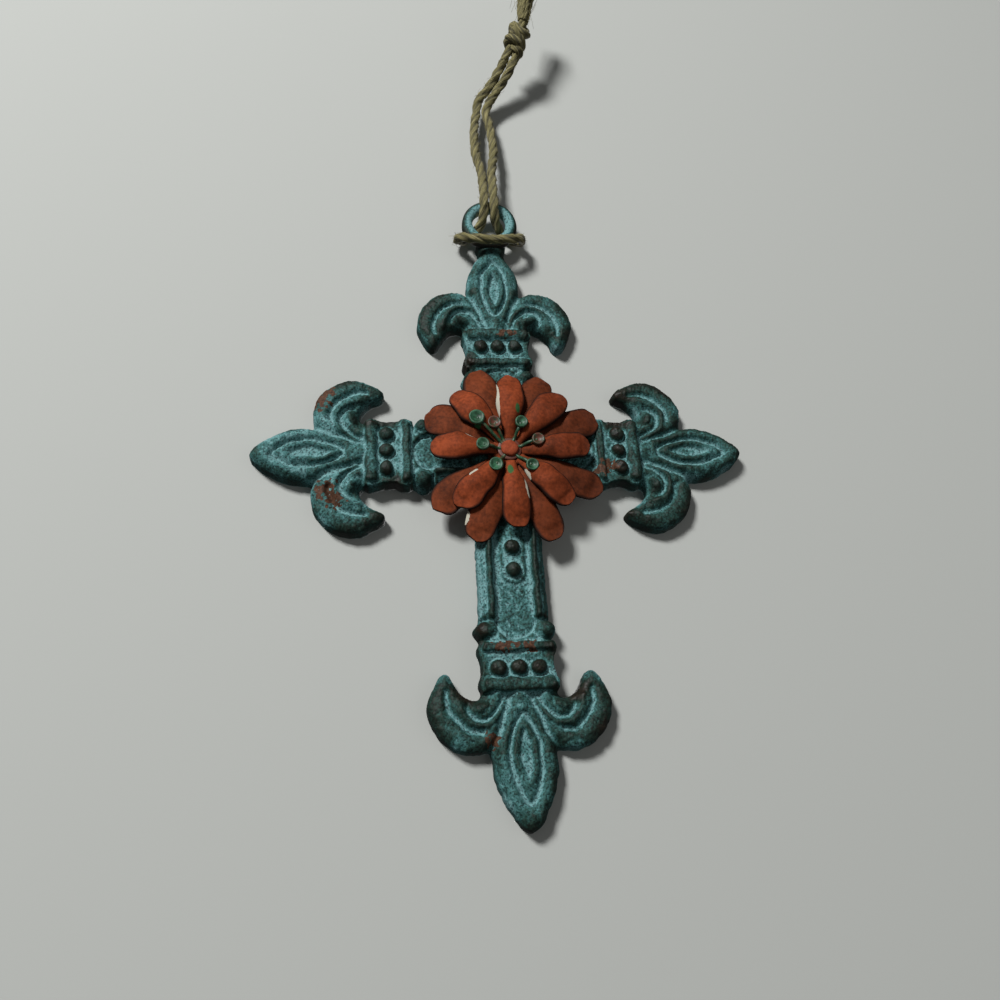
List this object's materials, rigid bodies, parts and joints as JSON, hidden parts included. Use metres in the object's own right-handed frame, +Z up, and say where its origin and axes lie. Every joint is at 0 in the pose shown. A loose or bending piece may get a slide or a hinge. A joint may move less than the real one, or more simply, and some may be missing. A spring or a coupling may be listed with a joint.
{
  "type": "cast iron wall cross",
  "caption": "Hanging wall cross with fleur-de-lis ends, a layered sheet-metal flower over its crossing, and a knotted twine loop through its top ring.",
  "frame": {"origin": "the crotch of the twine loop, where a nail or hook holds the cross", "axes": "+Z up along the cross, +X to the right as it is seen from the front, +Y into the wall"},
  "size_m": [0.165, 0.0312, 0.3219],
  "materials": {
    "casting": "verdigris paint wiped over dark iron, rubbed through on its high places",
    "petals": "matt rust-red paint, worn pale at its edges",
    "stamens": "green enamel",
    "rivet": "matt red paint",
    "twine": "raw three-ply jute"
  },
  "bodies": {
    "root": {"cross_casting": "casting", "back_petals": "petals", "front_petals": "petals", "stamens": "stamens", "centre_rivet": "rivet", "twine": "twine", "twine_knot": "twine"}
  },
  "joints": []
}
